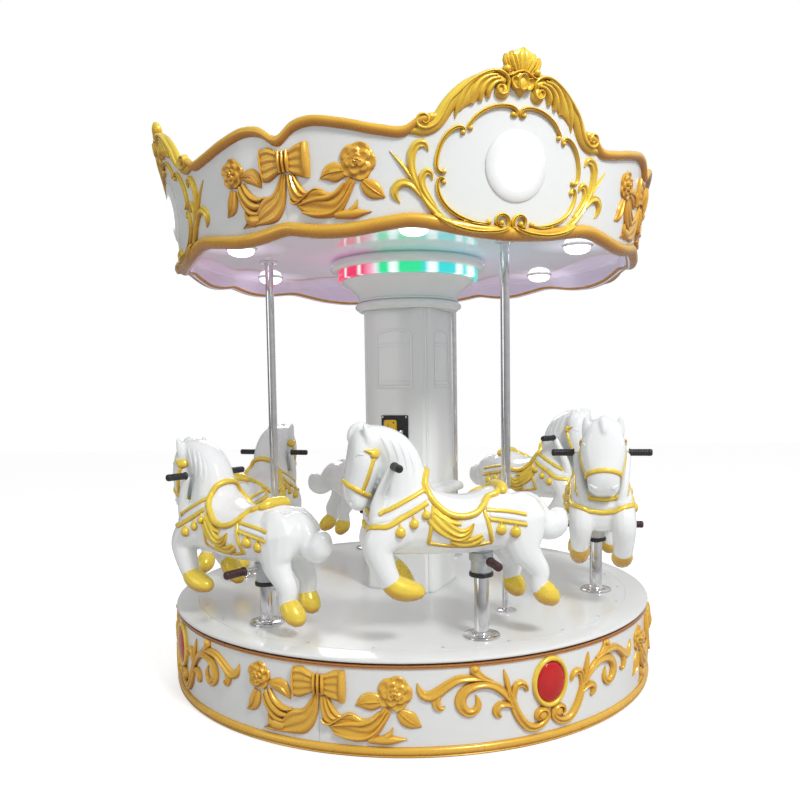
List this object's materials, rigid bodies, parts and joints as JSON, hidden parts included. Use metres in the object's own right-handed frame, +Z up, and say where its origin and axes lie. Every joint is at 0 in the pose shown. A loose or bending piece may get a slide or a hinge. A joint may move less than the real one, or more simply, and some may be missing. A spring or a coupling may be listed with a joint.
{
  "type": "fairground carousel",
  "caption": "Small fairground carousel: horses on a turntable around a square column, under a round canopy with a gilt scalloped crown.",
  "frame": {"origin": "on the floor at the turning axis, in the base's underside", "axes": "+Z up along the turning axis; -Y towards the front, where the coin plate faces; +X to the right seen from the front"},
  "size_m": [2.2352, 2.2382, 2.422],
  "materials": {
    "white_gelcoat": "glossy moulded glass-fibre shell",
    "gold_paint": "glossy gold paint on the shell",
    "chrome_tube": "bright polished tube",
    "grey_steel": "satin grey steel",
    "dark_steel": "dark painted steel",
    "black_grip": "satin black rubber",
    "black_plate": "satin black sheet",
    "red_gem": "glossy red",
    "lamp_disc": "lit white lens",
    "lit_band": "lit coloured lens"
  },
  "bodies": {
    "base": {"base_floor": "dark_steel", "base_bottom_rim": "gold_paint", "base_top_rim": "gold_paint", "base_skirt_front_right": "white_gelcoat", "base_skirt_back_right": "white_gelcoat", "base_skirt_back_left": "white_gelcoat", "base_skirt_front_left": "white_gelcoat", "base_gem_front_right": "red_gem", "base_gem_back_right": "red_gem", "base_gem_back_left": "red_gem", "base_gem_front_left": "red_gem", "centre_bearing": "dark_steel"},
    "turntable": {"deck": "white_gelcoat", "column": "white_gelcoat", "column_capital": "white_gelcoat", "light_band": "lit_band", "column_lip": "white_gelcoat", "coin_plate": "black_plate", "support_pole_right": "chrome_tube", "support_pole_left": "chrome_tube", "support_pole_back": "chrome_tube", "canopy_ceiling": "white_gelcoat", "crown_wall_front_right": "white_gelcoat", "crown_wall_back_right": "white_gelcoat", "crown_wall_back_left": "white_gelcoat", "crown_wall_front_left": "white_gelcoat", "crown_top_roll": "gold_paint", "crown_bottom_roll": "gold_paint", "crown_lamp_front_right": "lamp_disc", "crown_lamp_back_right": "lamp_disc", "crown_lamp_back_left": "lamp_disc", "crown_lamp_front_left": "lamp_disc", "post_front": "chrome_tube", "post_right": "chrome_tube", "post_back_right": "chrome_tube", "post_back": "chrome_tube", "post_back_left": "chrome_tube", "post_left": "chrome_tube"},
    "rider_front": {"horse_front": "white_gelcoat", "handlebar_front": "black_grip", "sleeve_front": "grey_steel"},
    "rider_right": {"horse_right": "white_gelcoat", "handlebar_right": "black_grip", "sleeve_right": "grey_steel"},
    "rider_back_right": {"horse_back_right": "white_gelcoat", "handlebar_back_right": "black_grip", "sleeve_back_right": "grey_steel"},
    "rider_back": {"horse_back": "white_gelcoat", "handlebar_back": "black_grip", "sleeve_back": "grey_steel"},
    "rider_back_left": {"horse_back_left": "white_gelcoat", "handlebar_back_left": "black_grip", "sleeve_back_left": "grey_steel"},
    "rider_left": {"horse_left": "white_gelcoat", "handlebar_left": "black_grip", "sleeve_left": "grey_steel"}
  },
  "joints": [
    {"name": "turntable_spin", "type": "hinge", "parent": "base", "child": "turntable", "pos_m": [0, 0, 0.341], "axis": [0, 0, -1], "continuous": true},
    {"name": "rise_front", "type": "slide", "parent": "turntable", "child": "rider_front", "axis": [0, 0, 1], "range_m": [-0.085, 0.015]},
    {"name": "rise_right", "type": "slide", "parent": "turntable", "child": "rider_right", "axis": [0, 0, 1], "range_m": [-0.085, 0.015]},
    {"name": "rise_back_right", "type": "slide", "parent": "turntable", "child": "rider_back_right", "axis": [0, 0, 1], "range_m": [-0.095, 0.005]},
    {"name": "rise_back", "type": "slide", "parent": "turntable", "child": "rider_back", "axis": [0, 0, 1], "range_m": [-0.065, 0.035]},
    {"name": "rise_back_left", "type": "slide", "parent": "turntable", "child": "rider_back_left", "axis": [0, 0, 1], "range_m": [-0.025, 0.075]},
    {"name": "rise_left", "type": "slide", "parent": "turntable", "child": "rider_left", "axis": [0, 0, 1], "range_m": [-0.01, 0.09]}
  ]
}
